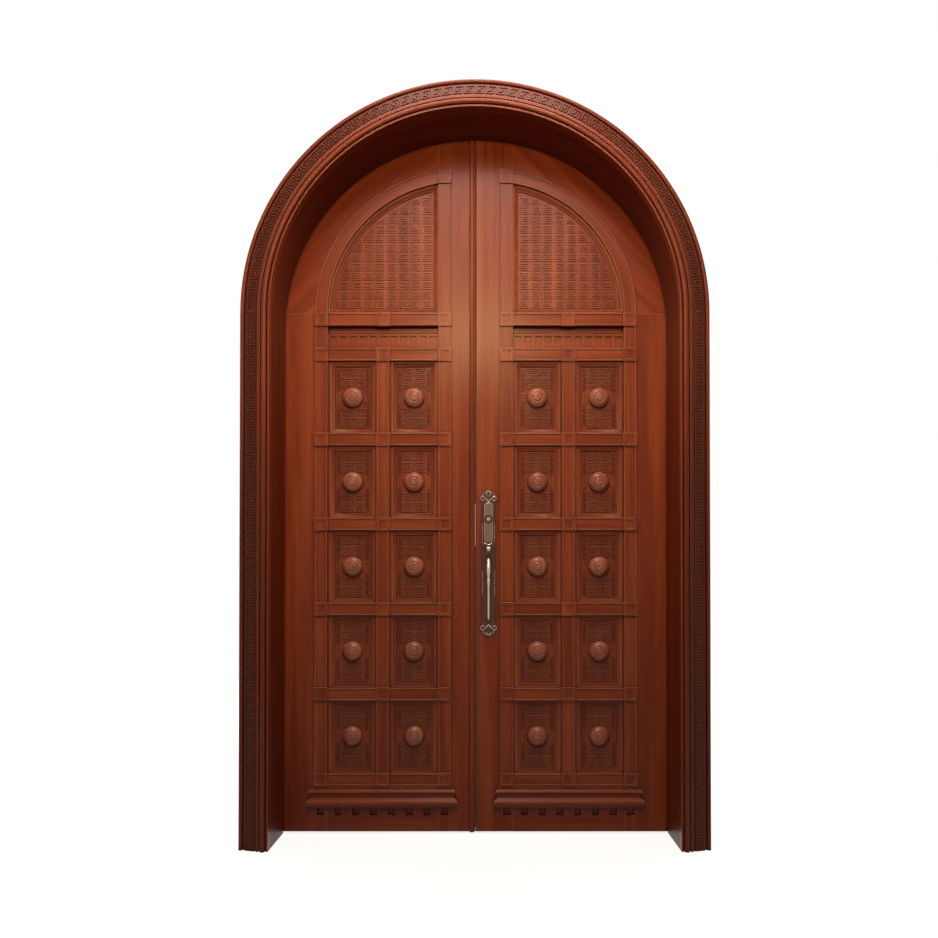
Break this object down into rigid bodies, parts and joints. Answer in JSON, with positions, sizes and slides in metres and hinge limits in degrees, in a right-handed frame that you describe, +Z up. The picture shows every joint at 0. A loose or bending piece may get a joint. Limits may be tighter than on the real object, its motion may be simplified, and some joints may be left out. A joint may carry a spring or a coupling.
{
  "type": "carved double front door",
  "caption": "Arched double-leaf front door of carved wood in its moulded frame: leaves swing inward, with thumb latch, deadbolt and flush bolts.",
  "frame": {"origin": "middle of the doorway at floor level, on the plane of the wall's outer face", "axes": "+X across the doorway to the right as seen from outside, +Y into the building, +Z up"},
  "size_m": [1.714, 0.3474, 2.8118],
  "materials": {
    "mahogany": "satin lacquer",
    "dark_mahogany": "satin lacquer",
    "antique_bronze": "antiqued and polished on the high places",
    "steel": "brushed",
    "seal_rubber": "matte"
  },
  "bodies": {
    "frame": {"casing_left": "mahogany", "casing_right": "mahogany", "casing_arch": "mahogany", "fret_strip_left": "mahogany", "fret_strip_right": "mahogany", "fret_strip_arch": "mahogany", "jamb_left": "dark_mahogany", "jamb_right": "dark_mahogany", "jamb_arch": "dark_mahogany", "weather_seal": "seal_rubber", "left_frame_hinges": "antique_bronze", "right_frame_hinges": "antique_bronze", "left_hinge_pins": "steel", "right_hinge_pins": "steel"},
    "left_leaf": {"left_hinge_stile": "mahogany", "left_meeting_stile": "mahogany", "left_arch_rail": "mahogany", "left_rails": "mahogany", "left_bands": "mahogany", "left_arch_band": "mahogany", "left_blocks": "mahogany", "left_panel_mouldings": "mahogany", "left_carved_panels": "mahogany", "left_bosses": "mahogany", "left_frieze_panel": "mahogany", "left_arch_moulding": "mahogany", "left_arch_panel": "mahogany", "left_drip_moulding": "mahogany", "left_leaf_hinges": "antique_bronze", "astragal": "mahogany", "strike_plate": "steel", "flush_bolt_plates": "antique_bronze"},
    "right_leaf": {"right_hinge_stile": "mahogany", "right_meeting_stile": "mahogany", "right_arch_rail": "mahogany", "right_rails": "mahogany", "right_bands": "mahogany", "right_arch_band": "mahogany", "right_blocks": "mahogany", "right_panel_mouldings": "mahogany", "right_carved_panels": "mahogany", "right_bosses": "mahogany", "right_frieze_panel": "mahogany", "right_arch_moulding": "mahogany", "right_arch_panel": "mahogany", "right_drip_moulding": "mahogany", "right_leaf_hinges": "antique_bronze", "handle_plate": "antique_bronze", "grip": "antique_bronze", "key_cylinder": "antique_bronze", "lock_case": "steel", "inner_plate": "antique_bronze"},
    "thumb_piece": {"thumb_piece": "antique_bronze"},
    "latch_bolt": {"latch_bolt": "steel"},
    "inner_knob": {"inner_knob": "antique_bronze"},
    "thumbturn": {"thumbturn": "antique_bronze"},
    "deadbolt": {"deadbolt": "steel"},
    "key_plug": {"key_plug": "steel"},
    "top_bolt": {"flush_bolt_top": "steel"},
    "bottom_bolt": {"flush_bolt_bottom": "steel"}
  },
  "joints": [
    {"name": "left_leaf_swing", "type": "hinge", "parent": "frame", "child": "left_leaf", "pos_m": [-0.7575, 0.2525, 0], "axis": [0, 0, 1], "range_deg": [0, 95]},
    {"name": "right_leaf_swing", "type": "hinge", "parent": "frame", "child": "right_leaf", "pos_m": [0.7575, 0.2525, 0], "axis": [0, 0, -1], "range_deg": [0, 95]},
    {"name": "thumb_press", "type": "hinge", "parent": "right_leaf", "child": "thumb_piece", "pos_m": [0.05, 0.175, 1.104], "axis": [-1, 0, 0], "range_deg": [0, 14]},
    {"name": "latch_slide", "type": "slide", "parent": "right_leaf", "child": "latch_bolt", "axis": [-1, 0, 0], "range_m": [0, 0.012]},
    {"name": "inner_knob_turn", "type": "hinge", "parent": "right_leaf", "child": "inner_knob", "pos_m": [0.05, 0.245, 1.104], "axis": [0, 1, 0], "range_deg": [0, 34]},
    {"name": "thumbturn_turn", "type": "hinge", "parent": "right_leaf", "child": "thumbturn", "pos_m": [0.05, 0.245, 1.217], "axis": [0, 1, 0], "range_deg": [0, 90]},
    {"name": "deadbolt_slide", "type": "slide", "parent": "right_leaf", "child": "deadbolt", "axis": [-1, 0, 0], "range_m": [0, 0.02]},
    {"name": "key_plug_turn", "type": "hinge", "parent": "right_leaf", "child": "key_plug", "pos_m": [0.05, 0.187, 1.217], "axis": [0, 1, 0], "range_deg": [0, 90]},
    {"name": "top_bolt_slide", "type": "slide", "parent": "left_leaf", "child": "top_bolt", "axis": [0, 0, 1], "range_m": [0, 0.018]},
    {"name": "bottom_bolt_slide", "type": "slide", "parent": "left_leaf", "child": "bottom_bolt", "axis": [0, 0, -1], "range_m": [0, 0.018]}
  ],
  "couplings": [
    {"joint": "latch_slide", "follows": "thumb_press", "m_per_rad": 0.0491},
    {"joint": "inner_knob_turn", "follows": "thumb_press", "ratio": 2.4},
    {"joint": "thumbturn_turn", "follows": "deadbolt_slide", "rad_per_m": 78.5},
    {"joint": "key_plug_turn", "follows": "deadbolt_slide", "rad_per_m": 78.5}
  ]
}
